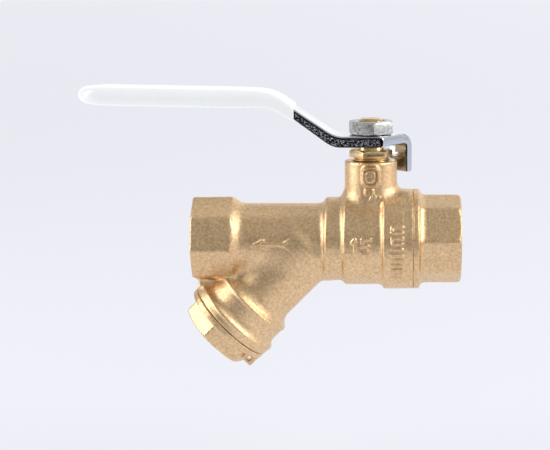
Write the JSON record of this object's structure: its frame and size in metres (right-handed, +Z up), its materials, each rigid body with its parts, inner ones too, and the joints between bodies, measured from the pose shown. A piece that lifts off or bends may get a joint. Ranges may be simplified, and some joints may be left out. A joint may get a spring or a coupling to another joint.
{
  "type": "y strainer ball valve",
  "caption": "Threaded brass Y-strainer with a quarter-turn ball valve at its inlet, a bent steel lever in a vinyl sleeve and a hexagon strainer cap.",
  "frame": {"origin": "centre of the inlet end face, on the pipe axis", "axes": "+X runs along the pipe axis, out of the inlet end; +Z runs up along the stem; -Y is the side with the closed stop"},
  "size_m": [0.1219, 0.0318, 0.0914],
  "materials": {
    "forged_brass": "shot-blasted forging with a fine sparkle",
    "machined_brass": "bright turned",
    "chrome": "polished plating",
    "ptfe": "waxy white",
    "rubber_seal": "matt black",
    "fibre_gasket": "matt pressed fibre",
    "plated_steel": "bright zinc plate on pressed sheet",
    "zinc_steel": "dull zinc plate",
    "white_vinyl": "soft gloss dip coating",
    "stainless_mesh": "perforated stainless sheet"
  },
  "bodies": {
    "valve_body": {"valve_body": "forged_brass", "end_adapter": "forged_brass", "adapter_o_ring": "rubber_seal", "seat_inlet": "ptfe", "seat_outlet": "ptfe", "stem_thrust_washer": "ptfe", "packing_ring_lower": "ptfe", "packing_ring_upper": "ptfe", "gland_nut": "machined_brass"},
    "handle": {"stem": "machined_brass", "ball": "chrome", "lever": "plated_steel", "lever_sleeve": "white_vinyl", "lever_nut": "zinc_steel"},
    "screen": {"strainer_screen": "stainless_mesh", "screen_end_ring": "stainless_mesh"},
    "gasket": {"cap_gasket": "fibre_gasket"},
    "cap": {"strainer_cap": "forged_brass"}
  },
  "joints": [
    {"name": "lever_turn", "type": "hinge", "parent": "valve_body", "child": "handle", "pos_m": [-0.0285, 0, 0.032], "axis": [0, 0, -1], "range_deg": [0, 90]},
    {"name": "screen_withdraw", "type": "slide", "parent": "valve_body", "child": "screen", "axis": [-0.7071, 0, -0.7071], "range_m": [0, 0.035]},
    {"name": "cap_travel", "type": "slide", "parent": "screen", "child": "gasket", "axis": [-0.7071, 0, -0.7071], "range_m": [0, 0.0075]},
    {"name": "cap_turn", "type": "hinge", "parent": "gasket", "child": "cap", "pos_m": [-0.0469, 0, 0], "axis": [-0.7071, 0, -0.7071], "range_deg": [0, 1800]}
  ],
  "couplings": [
    {"joint": "cap_travel", "follows": "cap_turn", "m_per_rad": 0.00023873}
  ]
}
